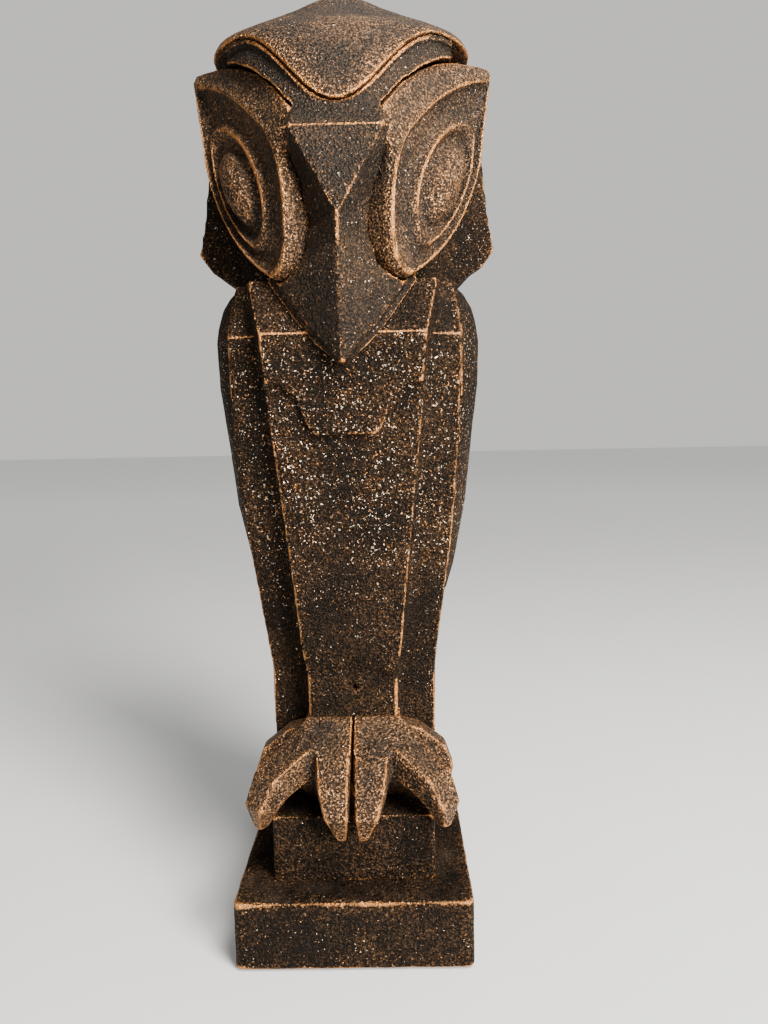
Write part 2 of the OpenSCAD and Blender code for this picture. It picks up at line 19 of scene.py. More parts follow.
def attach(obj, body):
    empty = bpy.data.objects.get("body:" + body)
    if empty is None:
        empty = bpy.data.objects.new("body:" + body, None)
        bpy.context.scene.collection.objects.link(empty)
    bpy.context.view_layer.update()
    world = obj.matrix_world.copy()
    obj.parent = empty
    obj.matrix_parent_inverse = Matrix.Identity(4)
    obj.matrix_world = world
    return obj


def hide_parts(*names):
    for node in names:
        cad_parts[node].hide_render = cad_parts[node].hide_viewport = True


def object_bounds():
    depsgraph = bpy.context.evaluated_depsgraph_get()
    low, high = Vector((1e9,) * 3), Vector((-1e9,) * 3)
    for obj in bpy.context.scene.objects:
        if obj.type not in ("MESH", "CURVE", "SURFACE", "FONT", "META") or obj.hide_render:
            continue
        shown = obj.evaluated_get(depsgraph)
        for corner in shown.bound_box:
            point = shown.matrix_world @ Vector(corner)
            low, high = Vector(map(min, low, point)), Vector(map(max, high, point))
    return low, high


bl_info = {
    "name": "Cast Owl Figurine",
    "version": (1, 0, 0),
    "blender": (4, 5, 0),
    "location": "3D View > Sidebar > Owl",
    "description": "Builds the sand-cast skins, finishes and stage of an owl figurine round its CAD frame",
    "category": "Object",
}

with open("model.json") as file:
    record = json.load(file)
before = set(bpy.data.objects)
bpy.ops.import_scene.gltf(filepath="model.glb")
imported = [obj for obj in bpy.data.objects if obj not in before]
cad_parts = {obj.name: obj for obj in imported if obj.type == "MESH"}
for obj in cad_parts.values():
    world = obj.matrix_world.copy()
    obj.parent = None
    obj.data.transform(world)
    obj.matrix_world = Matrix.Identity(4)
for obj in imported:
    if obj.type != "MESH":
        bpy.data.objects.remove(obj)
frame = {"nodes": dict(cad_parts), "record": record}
CAD_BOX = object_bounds()
MM = 0.001

# CAD corners nearer than this are one corner.
MERGE = 0.002 * MM
# The middle of the body's hollow, seen from above.
HOLLOW_MIDDLE = (0, 8 * MM)
# Level ridges that are rubbed to copper although they are low: across the neck and across the brow.
NECK_RIDGE = 210 * MM
BROW_RIDGE = 270.7 * MM
# Reach of the rubbing above and below a level ridge.
RIDGE_REACH = 0.55 * MM
# How strongly relief shows in the wear marks.
EDGE_GAIN = 3.2
HIGH_GAIN = 2.2
FINE_CAVITY_GAIN = 1.6
BROAD_CAVITY_GAIN = 1.4
# Faces that look inwards more than this are walls of a hollow, and lose this share of their mesh.
INWARD = -0.35
THINNING = 0.9

# Angle that the overhead light fills, as wide as a cloudy sky.
OVERHEAD_SPREAD = math.radians(130)
# The sky lights the owl weakly, but looks bright behind it.
SKY_LIGHT = 0.18
SKY_SEEN = 1.05
FLOOR_HALF = 6
FILM_WIDTH = 36
NEAREST_SEEN = 10 * MM

WARM_LIGHT = (1.0, 0.97, 0.93)
COOL_LIGHT = (0.95, 0.97, 1.0)
SKY = (0.70, 0.69, 0.665, 1)
PIT_BLACK = (0.002, 0.0015, 0.001, 1)
DUST = (0.16, 0.12, 0.09, 1)
STEEL_STAIN = (0.10, 0.08, 0.065, 1)
WARM_GLOSS = (1.0, 0.88, 0.74, 1.0)


# ---------- Settings ----------


class OwlCastingSettings(PropertyGroup):
    """How the castings' skins are made."""

    edge_reach: FloatProperty(
        name="Edge reach",
        description="How far from a sharp edge rubbing shows",
        default=1.1 * MM,
        min=0.4 * MM,
        max=3 * MM,
        unit="LENGTH",
    )
    high_reach: FloatProperty(
        name="High spot reach",
        description="Size of the bulges that count as high spots",
        default=3.6 * MM,
        min=2 * MM,
        max=8 * MM,
        unit="LENGTH",
    )
    softness: IntProperty(
        name="Edge softness",
        description="Smoothing rounds that take the sharpness off cast edges",
        default=4,
        min=1,
        max=12,
    )
    unevenness: FloatProperty(
        name="Unevenness",
        description="Depth of the waviness that a sand mould leaves",
        default=0.35 * MM,
        min=0,
        max=1 * MM,
        unit="LENGTH",
    )


class OwlFinishSettings(PropertyGroup):
    """Colours and wear of the finishes."""

    patina: FloatVectorProperty(
        name="Patina",
        description="Dark brown-black patina of the castings",
        subtype="COLOR",
        default=(0.005, 0.0038, 0.003),
        min=0,
        max=1,
    )
    warm: FloatVectorProperty(
        name="Warm patina",
        description="Brown that shows through where the patina is thin",
        subtype="COLOR",
        default=(0.135, 0.070, 0.032),
        min=0,
        max=1,
    )
    copper: FloatVectorProperty(
        name="Rubbed copper",
        description="Copper-gold of the rubbed edges",
        subtype="COLOR",
        default=(0.46, 0.20, 0.065),
        min=0,
        max=1,
    )
    # This colour paints glints on the bright grains as well as showing bare metal.
    bare_and_glints: FloatVectorProperty(
        name="Bare grains",
        description="Pale brassy glint of the grains that stand proud of the patina",
        subtype="COLOR",
        default=(1.0, 0.84, 0.64),
        min=0,
        max=1,
    )
    steel: FloatVectorProperty(
        name="Steel",
        description="Zinc-grey steel of the fasteners",
        subtype="COLOR",
        default=(0.27, 0.265, 0.26),
        min=0,
        max=1,
    )
    felt: FloatVectorProperty(
        name="Felt",
        description="Green felt under the plinth",
        subtype="COLOR",
        default=(0.02, 0.11, 0.05),
        min=0,
        max=1,
    )
    wear: FloatProperty(
        name="Edge wear",
        description="How much of the edges is rubbed through",
        subtype="FACTOR",
        default=0.5,
        min=0,
        max=1,
    )
    grain: FloatProperty(
        name="Grain size",
        description="Size of the sand grains in the cast skin",
        default=0.7 * MM,
        min=0.4 * MM,
        max=3 * MM,
        unit="LENGTH",
    )


class OwlStageSettings(PropertyGroup):
    """Floor, lights and camera."""

    floor: FloatVectorProperty(
        name="Floor",
        description="Colour of the pale floor",
        subtype="COLOR",
        default=(0.62, 0.62, 0.61),
        min=0,
        max=1,
    )
    key: FloatProperty(
        name="Key light",
        description="Power of the large soft light on the right",
        default=50,
        min=0,
        max=200,
        unit="POWER",
    )
    fill: FloatProperty(
        name="Fill light",
        description="Power of the weak light on the left",
        default=1.5,
        min=0,
        max=200,
        unit="POWER",
    )
    brow: FloatProperty(
        name="Brow light",
        description="Power of the small light above the head",
        default=10,
        min=0,
        max=50,
        unit="POWER",
    )
    overhead: FloatProperty(
        name="Overhead light",
        description="Strength of the soft light above",
        default=1.9,
        min=0,
        max=20,
    )
    eye: FloatVectorProperty(
        name="Camera place",
        description="Where the camera stands",
        subtype="TRANSLATION",
        default=(14.6 * MM, -290 * MM, 177.7 * MM),
        unit="LENGTH",
    )
    aim: FloatVectorProperty(
        name="Camera turn",
        description="Pitch, roll and yaw of the camera",
        subtype="EULER",
        default=(math.radians(83.99), math.radians(-1.1), math.radians(0.5)),
        unit="ROTATION",
    )
    lens: FloatProperty(
        name="Lens",
        description="Focal length of the camera",
        default=27.04,
        min=10,
        max=200,
    )


# ---------- Node helpers ----------


def new_group(name, inputs, outputs):
    """A shader node group with (name, type, default) inputs and (name, type) outputs."""
    group = bpy.data.node_groups.new(name, "ShaderNodeTree")
    for label, kind, default in inputs:
        socket = group.interface.new_socket(label, in_out="INPUT", socket_type=kind)
        socket.default_value = default
    for label, kind in outputs:
        group.interface.new_socket(label, in_out="OUTPUT", socket_type=kind)
    group.nodes.new("NodeGroupInput").name = "In"
    group.nodes.new("NodeGroupOutput").name = "Out"
    return group


def put(tree, kind, settings=None, **links):
    """Adds a node. Links give its inputs, by name or as i and a number, a value or a node's socket."""
    node = tree.nodes.new(kind)
    for key, value in (settings or {}).items():
        setattr(node, key, value)
    for key, value in links.items():
        numbered = key[0] == "i" and key[1:].isdigit()
        socket = node.inputs[int(key[1:]) if numbered else key.replace("_", " ")]
        if isinstance(value, bpy.types.NodeSocket):
            tree.links.new(value, socket)
        else:
            socket.default_value = value
    return node


def maths(tree, operation, a, b=0.0, clamp=False):
    """Result of one arithmetic step."""
    return put(tree, "ShaderNodeMath", {"operation": operation, "use_clamp": clamp}, i0=a, i1=b).outputs[0]


def swing(tree, value, gain):
    """How far a 0 to 1 value lies from its middle, times a gain."""
    return maths(tree, "MULTIPLY", maths(tree, "SUBTRACT", value, 0.5), gain)


def ramp(tree, value, low, high, to_low=0.0, to_high=1.0):
    """Smooth step of a value between two limits."""
    return put(
        tree,
        "ShaderNodeMapRange",
        {"interpolation_type": "SMOOTHSTEP"},
        Value=value,
        From_Min=low,
        From_Max=high,
        To_Min=to_low,
        To_Max=to_high,
    ).outputs[0]


def noise(tree, vector, size, detail=2.0, roughness=0.5):
    """Noise whose lumps are about the given size across, in metres."""
    return put(
        tree, "ShaderNodeTexNoise", None, Vector=vector, Scale=1 / size, Detail=detail, Roughness=roughness
    ).outputs["Fac"]


def blend_colour(tree, factor, a, b):
    """Colour between a and b."""
    return put(tree, "ShaderNodeMix", {"data_type": "RGBA"}, i0=factor, i6=a, i7=b).outputs[2]


def bump(tree, height, depth, strength):
    """Normal that a height of 0 to 1, as deep as given in metres, leaves on the surface."""
    return put(tree, "ShaderNodeBump", None, Strength=strength, Distance=depth, Height=height).outputs[0]


def place(tree):
    """Object coordinates, in metres."""
    return put(tree, "ShaderNodeTexCoord").outputs["Object"]


def stretched(tree, scale):
    """Object coordinates with their axes scaled."""
    return put(tree, "ShaderNodeMapping", None, Vector=place(tree), Scale=scale).outputs[0]


def upward(tree, vector):
    """The Z part of a vector."""
    return put(tree, "ShaderNodeSeparateXYZ", None, i0=vector).outputs["Z"]


def rgba(colour):
    """An opaque colour."""
    return (*colour, 1.0)


def toned(colour, gain, lift=0.0, top=1.0):
    """A colour made brighter or darker."""
    return rgba([min(top, channel * gain + lift) for channel in colour])


# ---------- Shared effects ----------


def sand_grain_group(size):
    """Lumpy skin that a sand mould leaves: its relief, the tops of its grains and the pits between them."""
    group = new_group(
        "Sand grain",
        [("Coarse", "NodeSocketFloat", 0.5)],
        [("Height", "NodeSocketFloat"), ("Tops", "NodeSocketFloat"), ("Pits", "NodeSocketFloat")],
    )
    at = place(group)
    coarse = group.nodes["In"].outputs["Coarse"]
    lumps = noise(group, at, size * 1.25, 3, 0.6)
    cells = put(
        group,
        "ShaderNodeTexVoronoi",
        {"feature": "SMOOTH_F1"},
        Vector=at,
        Scale=1 / size,
        Smoothness=0.35,
    ).outputs["Distance"]
    depth = maths(group, "MULTIPLY", coarse, 0.8)
    grains = maths(group, "MULTIPLY", maths(group, "SUBTRACT", 0.5, cells), depth)
    relief = maths(group, "ADD", lumps, grains)
    out = group.nodes["Out"]
    group.links.new(relief, out.inputs["Height"])
    group.links.new(ramp(group, relief, 0.50, 0.78), out.inputs["Tops"])
    group.links.new(ramp(group, relief, 0.56, 0.32), out.inputs["Pits"])
    return group


def edge_wear_group():
    """Where the finish is rubbed through: broken lines along edges and grains on high spots; also bright
    grains that paint glints.
    """
    group = new_group(
        "Edge wear",
        [
            ("Edge", "NodeSocketFloat", 0.0),
            ("High", "NodeSocketFloat", 0.0),
            ("Tops", "NodeSocketFloat", 0.0),
            ("Amount", "NodeSocketFloat", 0.5),
            ("Rub", "NodeSocketFloat", 0.0),
            ("Sparkle", "NodeSocketFloat", 0.5),
        ],
        [
            ("Line", "NodeSocketFloat"),
            ("Specks", "NodeSocketFloat"),
            ("Thin", "NodeSocketFloat"),
            ("Sparks", "NodeSocketFloat"),
        ],
    )
    at = place(group)
    source = group.nodes["In"].outputs
    out = group.nodes["Out"].inputs
    patches = noise(group, at, 16 * MM, 3, 0.6)
    nicks = noise(group, at, 1.8 * MM, 3, 0.6)
    salt = noise(group, at, 0.8 * MM, 2, 0.7)
    grit = noise(group, at, 0.85 * MM, 2, 0.75)

    # Edges wear most, unevenly, and first on the tops of the grains.
    uneven = maths(group, "ADD", swing(group, patches, 0.7), swing(group, nicks, 0.45))
    worn = maths(group, "ADD", source["Edge"], uneven)
    worn = maths(group, "ADD", worn, maths(group, "MULTIPLY", source["Tops"], 0.15))
    limit = maths(group, "SUBTRACT", 1.0, maths(group, "MULTIPLY", source["Amount"], 0.8))
    line = ramp(group, worn, limit, maths(group, "ADD", limit, 0.25))
    thin = ramp(group, worn, maths(group, "SUBTRACT", limit, 0.35), maths(group, "ADD", limit, 0.1))

    # High spots are rubbed in patches, and only single grains there are bright.
    rubbed = maths(group, "ADD", source["High"], maths(group, "MULTIPLY", patches, 0.9))
    rubbed = maths(group, "MULTIPLY", ramp(group, rubbed, 0.3, 1.0), source["Rub"])
    salt = maths(group, "ADD", salt, maths(group, "MULTIPLY", rubbed, 0.28))
    specks = maths(group, "MULTIPLY", ramp(group, salt, 0.60, 0.74), source["Tops"])
    specks = maths(group, "MULTIPLY", specks, maths(group, "ADD", rubbed, 0.15), clamp=True)

    # Bare grains lie all over, in drifts, and more of them where Sparkle is high; their bright colour also
    # paints glints, thinned by height as painted lighting.
    share = maths(group, "MULTIPLY", source["Sparkle"], 0.1)
    level = maths(group, "ADD", swing(group, patches, 0.12), share)
    sparks = ramp(group, maths(group, "ADD", grit, level), 0.67, 0.715)

    group.links.new(line, out["Line"])
    group.links.new(specks, out["Specks"])
    group.links.new(maths(group, "MAXIMUM", thin, rubbed), out["Thin"])
    group.links.new(sparks, out["Sparks"])
    return group


def patina_group():
    """Cloudy change of tone and gloss over the patina, black in the pits and brown on the grains."""
    group = new_group(
        "Patina tone",
        [
            ("Dark", "NodeSocketColor", (0.02, 0.01, 0.01, 1)),
            ("Warm", "NodeSocketColor", (0.08, 0.04, 0.02, 1)),
            ("Thin", "NodeSocketFloat", 0.0),
            ("Tops", "NodeSocketFloat", 0.0),
            ("Pits", "NodeSocketFloat", 0.0),
        ],
        [("Color", "NodeSocketColor"), ("Gloss", "NodeSocketFloat")],
    )
    at = place(group)
    source = group.nodes["In"].outputs
    out = group.nodes["Out"].inputs
    clouds = noise(group, at, 24 * MM, 4, 0.6)
    mottle = noise(group, at, 3.5 * MM, 3, 0.6)
    cloudy = maths(group, "MULTIPLY", ramp(group, clouds, 0.42, 0.62), 0.45)
    mottled = maths(group, "MULTIPLY", ramp(group, mottle, 0.48, 0.72), 0.2)
    share = maths(group, "ADD", cloudy, mottled)
    share = maths(group, "ADD", share, maths(group, "MULTIPLY", source["Thin"], 0.55))
    share = maths(group, "MULTIPLY", share, maths(group, "ADD", source["Tops"], 0.25))
    share = maths(group, "ADD", share, maths(group, "MULTIPLY", source["Tops"], 0.18), clamp=True)
    tone = blend_colour(group, share, source["Dark"], source["Warm"])
    tone = blend_colour(group, maths(group, "MULTIPLY", source["Pits"], 0.8), tone, PIT_BLACK)
    group.links.new(tone, out["Color"])
    group.links.new(maths(group, "ADD", clouds, maths(group, "MULTIPLY", mottle, 0.6)), out["Gloss"])
    return group


def dust_group():
    """Fine pale dust that settles in hollows and on level ledges."""
    group = new_group(
        "Dust",
        [("Cavity", "NodeSocketFloat", 0.0), ("Pits", "NodeSocketFloat", 0.0)],
        [("Mask", "NodeSocketFloat")],
    )
    source = group.nodes["In"].outputs
    up = upward(group, put(group, "ShaderNodeNewGeometry").outputs["Normal"])
    patches = ramp(group, noise(group, place(group), 9 * MM, 4, 0.65), 0.45, 0.75)
    level = maths(group, "MULTIPLY", ramp(group, up, 0.55, 1.0), 0.45)
    held = maths(group, "MULTIPLY", source["Cavity"], 0.5)
    mask = maths(group, "MULTIPLY", maths(group, "ADD", level, held), patches)
    settled = maths(group, "ADD", maths(group, "MULTIPLY", source["Pits"], 0.7), 0.3)
    mask = maths(group, "MULTIPLY", mask, settled, clamp=True)
    group.links.new(mask, group.nodes["Out"].inputs["Mask"])
    return group


# ---------- Materials ----------


def new_material(name):
    """A material with only its output node."""
    material = bpy.data.materials.new(name)
    material.use_nodes = True
    material.node_tree.nodes.clear()
    return material


def finish_material(material, shader):
    """Joins a shader to the material's output."""
    tree = material.node_tree
    out = put(tree, "ShaderNodeOutputMaterial")
    tree.links.new(shader.outputs[0], out.inputs["Surface"])
    return material


def measure(tree, name):
    """Value of a mesh attribute."""
    return put(tree, "ShaderNodeAttribute", {"attribute_name": name}).outputs["Fac"]


def use_group(tree, group, **links):
    """Places a node group."""
    return put(tree, "ShaderNodeGroup", {"node_tree": group}, **links).outputs


def glint_light_by_height(tree):
    """Painted lighting by height for the glint grains: 1 over the chest, 0 below it, a third above the
    neck, standing in for how the light falls on them.
    """
    height = upward(tree, place(tree))
    above_legs = ramp(tree, height, 100 * MM, 150 * MM)
    below_neck = ramp(tree, height, 216 * MM, 207 * MM, 0.35, 1.0)
    return maths(tree, "MULTIPLY", above_legs, below_neck)


def cast_iron(name, groups, rub, amount, warm_gain, dark_gain, sparkle, dullness, shine):
    """Sand-cast iron under a dark patina that is rubbed through to copper."""
    finish = bpy.context.scene.owl_finish
    copper, bare_and_glint_colour = rgba(finish.copper), rgba(finish.bare_and_glints)
    material = new_material(name)
    tree = material.node_tree
    grain = use_group(tree, groups["grain"], Coarse=0.6)
    # Painted glints: fewer bright grains below the chest and above the neck, where the light falls on them
    # less.
    painted_glint_height = maths(tree, "ADD", maths(tree, "MULTIPLY", glint_light_by_height(tree), 1.1), -0.25)
    wear = use_group(
        tree,
        groups["wear"],
        Edge=measure(tree, "edge"),
        High=measure(tree, "high"),
        Tops=grain["Tops"],
        Amount=amount,
        Rub=rub,
        Sparkle=maths(tree, "MULTIPLY", painted_glint_height, sparkle),
    )
    tone = use_group(
        tree,
        groups["patina"],
        Dark=toned(finish.patina, dark_gain),
        Warm=toned(finish.warm, warm_gain),
        Thin=wear["Thin"],
        Tops=grain["Tops"],
        Pits=grain["Pits"],
    )
    dust = use_group(tree, groups["dust"], Cavity=measure(tree, "cavity"), Pits=grain["Pits"])["Mask"]

    # Colour: patina, then bright grains that paint glints, then rubbed lines and specks, then a veil of
    # dust.
    pale = ramp(tree, noise(tree, place(tree), 2.6 * MM, 2, 0.6), 0.42, 0.62)
    base = blend_colour(tree, wear["Sparks"], tone["Color"], blend_colour(tree, pale, copper, bare_and_glint_colour))
    rubbed = maths(tree, "MAXIMUM", wear["Line"], wear["Specks"])
    fleck = maths(tree, "MULTIPLY", ramp(tree, grain["Height"], 0.62, 0.80), 0.3)
    base = blend_colour(tree, rubbed, base, blend_colour(tree, fleck, copper, bare_and_glint_colour))
    base = blend_colour(tree, maths(tree, "MULTIPLY", dust, 0.25), base, DUST)

    # Gloss: bare metal and the grains that paint glints are smooth, patina dull, and dust duller still.
    bare_and_glints = maths(tree, "MAXIMUM", rubbed, wear["Sparks"])
    rough = maths(tree, "ADD", maths(tree, "MULTIPLY", tone["Gloss"], 0.2), dullness)
    rough = maths(tree, "SUBTRACT", rough, maths(tree, "MULTIPLY", bare_and_glints, dullness - 0.18))
    rough = maths(tree, "ADD", rough, maths(tree, "MULTIPLY", dust, 0.3), clamp=True)
    metal = maths(tree, "ADD", maths(tree, "MULTIPLY", wear["Thin"], 0.3), bare_and_glints, clamp=True)
    shader = put(
        tree,
        "ShaderNodeBsdfPrincipled",
        None,
        Base_Color=base,
        Roughness=rough,
        Metallic=metal,
        Normal=bump(tree, grain["Height"], 0.9 * MM, 1.0),
        Specular_IOR_Level=shine,
        Specular_Tint=WARM_GLOSS,
    )
    return finish_material(material, shader)


def steel_material(finish):
    """Zinc-grey steel with fine turning marks and dull stains."""
    material = new_material("Fastener_Steel")
    tree = material.node_tree
    marks = noise(tree, stretched(tree, (1, 1, 12)), 2.4 * MM, 3, 0.6)
    stains = ramp(tree, noise(tree, place(tree), 5 * MM, 4, 0.6), 0.45, 0.7)
    rough = maths(tree, "ADD", maths(tree, "MULTIPLY", marks, 0.25), 0.25)
    shader = put(
        tree,
        "ShaderNodeBsdfPrincipled",
        None,
        Base_Color=blend_colour(tree, stains, rgba(finish.steel), STEEL_STAIN),
        Roughness=rough,
        Metallic=0.95,
        Normal=bump(tree, marks, 0.05 * MM, 0.5),
    )
    return finish_material(material, shader)


def felt_material(finish):
    """Pressed felt: matted fibres and paler fuzz."""
    material = new_material("Base_Felt")
    tree = material.node_tree
    fibres = noise(tree, stretched(tree, (1, 2.6, 1)), 0.5 * MM, 4, 0.7)
    mats = noise(tree, place(tree), 6 * MM, 3, 0.6)
    fuzz = ramp(tree, maths(tree, "ADD", fibres, maths(tree, "MULTIPLY", mats, 0.4)), 0.5, 0.95)
    shader = put(
        tree,
        "ShaderNodeBsdfPrincipled",
        None,
        Base_Color=blend_colour(tree, fuzz, rgba(finish.felt), toned(finish.felt, 2.2, 0.01)),
        Roughness=0.95,
        Normal=bump(tree, fibres, 0.25 * MM, 0.9),
        Sheen_Weight=0.4,
    )
    return finish_material(material, shader)


def floor_material(stage):
    """Pale matt floor with a faint mottle, painted paler far from the owl where the lamps light it less."""
    material = new_material("Stage_Floor")
    tree = material.node_tree
    mottle = noise(tree, place(tree), 60 * MM, 4, 0.6)
    near = blend_colour(tree, mottle, rgba(stage.floor), toned(stage.floor, 0.94))
    reach = put(tree, "ShaderNodeVectorMath", {"operation": "LENGTH"}, i0=place(tree)).outputs["Value"]
    # Painted light: paler with distance, making up for the lamps' falloff.
    base = blend_colour(tree, ramp(tree, reach, 0.3, 2.0), near, toned(stage.floor, 1.5, top=0.95))
    shader = put(tree, "ShaderNodeBsdfPrincipled", None, Base_Color=base, Roughness=0.7)
    return finish_material(material, shader)


def owl_materials():
    """Every finish, made once."""
    if "Dark_Iron" in bpy.data.materials:
        return bpy.data.materials
    finish = bpy.context.scene.owl_finish
    groups = {
        "grain": sand_grain_group(finish.grain),
        "wear": edge_wear_group(),
        "patina": patina_group(),
        "dust": dust_group(),
    }
    cast_iron(
        "Dark_Iron",
        groups,
        rub=0.3,
        amount=finish.wear,
        warm_gain=0.5,
        dark_gain=1,
        sparkle=0.52,
        dullness=0.40,
        shine=0.05,
    )
    cast_iron(
        "Smooth_Iron",
        groups,
        rub=0.3,
        amount=finish.wear,
        warm_gain=0.6,
        dark_gain=1.2,
        sparkle=0.15,
        dullness=0.26,
        shine=0.16,
    )
    cast_iron(
        "Bronzed_Iron",
        groups,
        rub=0.9,
        amount=finish.wear * 1.15,
        warm_gain=1.5,
        dark_gain=2,
        sparkle=0.15,
        dullness=0.28,
        shine=0.15,
    )
    steel_material(finish)
    felt_material(finish)
    floor_material(bpy.context.scene.owl_stage)
    return bpy.data.materials


# ---------- Castings ----------


def new_piece(name, mesh, material):
    """An object of its own that rides on the figurine and takes its finish from a slot."""
    piece = bpy.data.objects.new(name, mesh)
    bpy.context.scene.collection.objects.link(piece)
    mesh.materials.clear()
    mesh.materials.append(owl_materials()[material])
    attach(piece, "root")
    return piece


def merged_copy(node, name):
    """A copy of a CAD node's mesh with its seams closed."""
    mesh = frame["nodes"][node].data.copy()
    mesh.name = name
    bm = bmesh.new()
    bm.from_mesh(mesh)
    bmesh.ops.remove_doubles(bm, verts=bm.verts, dist=MERGE)
    bm.to_mesh(mesh)
    bm.free()
    return mesh


def soften(piece, voxel, rounds):
    """Adds modifiers that even out a piece's mesh and take the sharpness off its edges."""
    even = piece.modifiers.new("Even skin", "REMESH")
    even.mode = "VOXEL"
    even.voxel_size = voxel
    soft = piece.modifiers.new("Soft edges", "SMOOTH")
    soft.factor = 0.5
    soft.iterations = rounds


def roughen(piece, texture, depth, middle):
    """Adds a modifier that sinks a texture's dark parts; at a middle of 1 nothing stands proud."""
    rough = piece.modifiers.new(texture.name, "DISPLACE")
    rough.texture = texture
    rough.texture_coords = "LOCAL"
    rough.strength = depth
    rough.mid_level = middle


def clouds(name, size, depth):
    """Procedural texture of cloudy lumps, made once."""
    texture = bpy.data.textures.get(name) or bpy.data.textures.new(name, "CLOUDS")
    texture.noise_scale = size
    texture.noise_depth = depth
    return texture


def shade_smooth(mesh):
    """Smooth shading on every face."""
    mesh.polygons.foreach_set("use_smooth", [True] * len(mesh.polygons))


def bake_modifiers(piece):
    """Turns a piece's modifiers into its mesh."""
    graph = bpy.context.evaluated_depsgraph_get()
    mesh = bpy.data.meshes.new_from_object(piece.evaluated_get(graph))
    piece.modifiers.clear()
    old = piece.data
    piece.data = mesh
    mesh.name = piece.name
    bpy.data.meshes.remove(old)


def vectors(mesh, key):
    """One row for each vertex: its place ("co") or its normal ("normal")."""
    values = np.empty(len(mesh.vertices) * 3)
    mesh.vertices.foreach_get(key, values)
    return values.reshape(-1, 3)


def spread(values, ends, count, rounds):
    """Averages each vertex's values with its neighbours', round by round."""
    a, b = ends[:, 0], ends[:, 1]
    degree = np.bincount(a, minlength=count) + np.bincount(b, minlength=count)
    degree = np.maximum(degree, 1)[:, None]
    for _ in range(rounds):
        totals = []
        for column in values.T:
            forward = np.bincount(a, column[b], minlength=count)
            backward = np.bincount(b, column[a], minlength=count)
            totals.append(forward + backward)
        values = 0.5 * values + 0.5 * np.stack(totals, axis=1) / degree
    return values


def mark_relief(mesh, voxel, casting, ridges):
    """Stores how far each vertex stands proud of its surroundings or below them, with rubbed ridges."""
    count = len(mesh.vertices)
    places, normals = vectors(mesh, "co"), vectors(mesh, "normal")
    ends = np.empty(len(mesh.edges) * 2, dtype=np.int64)
    mesh.edges.foreach_get("vertices", ends)
    ends = ends.reshape(-1, 2)

    def proud(reach):
        rounds = max(2, round(4 * (reach / voxel) ** 2))
        smooth = spread(places, ends, count, rounds)
        return ((places - smooth) * normals).sum(axis=1) / reach

    fine = spread(proud(casting.edge_reach)[:, None], ends, count, 2)[:, 0]
    broad = proud(casting.high_reach)
    edge = fine * EDGE_GAIN
    for height in ridges:
        near = np.exp(-(((places[:, 2] - height) / RIDGE_REACH) ** 2))
        edge = np.maximum(edge, near * np.clip(-normals[:, 1] * 1.6, 0, 1))
    marks = {
        "edge": np.clip(edge, 0, 1),
        "high": np.clip(broad * HIGH_GAIN, 0, 1),
        "cavity": np.clip(-np.minimum(fine * FINE_CAVITY_GAIN, broad * BROAD_CAVITY_GAIN), 0, 1),
    }
    for name, values in marks.items():
        layer = mesh.attributes.new(name, "FLOAT", "POINT")
        layer.data.foreach_set("value", values.astype(np.float32))


def thin_inside(piece, middle):
    """Takes the fine mesh off the walls of a casting's hollow, whose faces look towards its middle."""
    out = vectors(piece.data, "co")[:, :2] - middle
    normals = vectors(piece.data, "normal")[:, :2]
    facing = (normals * out).sum(axis=1) / np.linalg.norm(out, axis=1)
    inside = np.flatnonzero(facing < INWARD)
    group = piece.vertex_groups.new(name="Inside")
    group.add(inside.tolist(), 1.0, "REPLACE")
    thin = piece.modifiers.new("Thin inside", "DECIMATE")
    thin.vertex_group = group.name
    thin.ratio = 1 - THINNING * len(inside) / len(facing)
    bake_modifiers(piece)
    piece.vertex_groups.clear()


def casting(node, name, material, slot, voxel, ridges=(), hollow_at=None):
    """Stands a sand-cast skin in for a CAD casting: merged, evenly remeshed, softened and waved."""
    settings = bpy.context.scene.owl_casting
    piece = new_piece(name, merged_copy(node, name), material)
    soften(piece, voxel, settings.softness)
    bake_modifiers(piece)
    mark_relief(piece.data, voxel, settings, ridges)
    if hollow_at:
        thin_inside(piece, hollow_at)
    roughen(piece, clouds("Mould waviness", 7 * MM, 3), settings.unevenness, 0.85)
    bake_modifiers(piece)
    shade_smooth(piece.data)
    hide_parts(node)


class OWL_OT_plinth(Operator):
    """Cast the two steps of the plinth"""

    bl_idname = "owl.plinth"
    bl_label = "Plinth"

    def execute(self, context):
        casting("base_slab", "Plinth_Slab", "Dark_Iron", "dark_iron", voxel=0.9 * MM)
        casting("perch_block", "Plinth_Perch", "Dark_Iron", "dark_iron", voxel=0.8 * MM)
        return {"FINISHED"}


class OWL_OT_body(Operator):
    """Cast the front and back halves of the body"""

    bl_idname = "owl.body"
    bl_label = "Body"

    def execute(self, context):
        casting(
            "body_front",
            "Body_Front",
            "Dark_Iron",
            "dark_iron",
            voxel=0.74 * MM,
            ridges=[NECK_RIDGE],
            hollow_at=HOLLOW_MIDDLE,
        )
        casting(
            "body_back",
            "Body_Back",
            "Dark_Iron",
            "dark_iron",
            voxel=0.8 * MM,
            hollow_at=HOLLOW_MIDDLE,
        )
        return {"FINISHED"}


class OWL_OT_wings(Operator):
    """Cast both wings"""

    bl_idname = "owl.wings"
    bl_label = "Wings"

    def execute(self, context):
        for side in ("left", "right"):
            name = f"Wing_{side.title()}"
            casting(f"wing_{side}", name, "Dark_Iron", "dark_iron", voxel=0.7 * MM)
        return {"FINISHED"}


class OWL_OT_feet(Operator):
    """Cast both clawed feet"""

    bl_idname = "owl.feet"
    bl_label = "Feet"

    def execute(self, context):
        for side in ("left", "right"):
            name = f"Foot_{side.title()}"
            casting(f"foot_{side}", name, "Bronzed_Iron", "bronzed_iron", voxel=0.5 * MM)
        return {"FINISHED"}


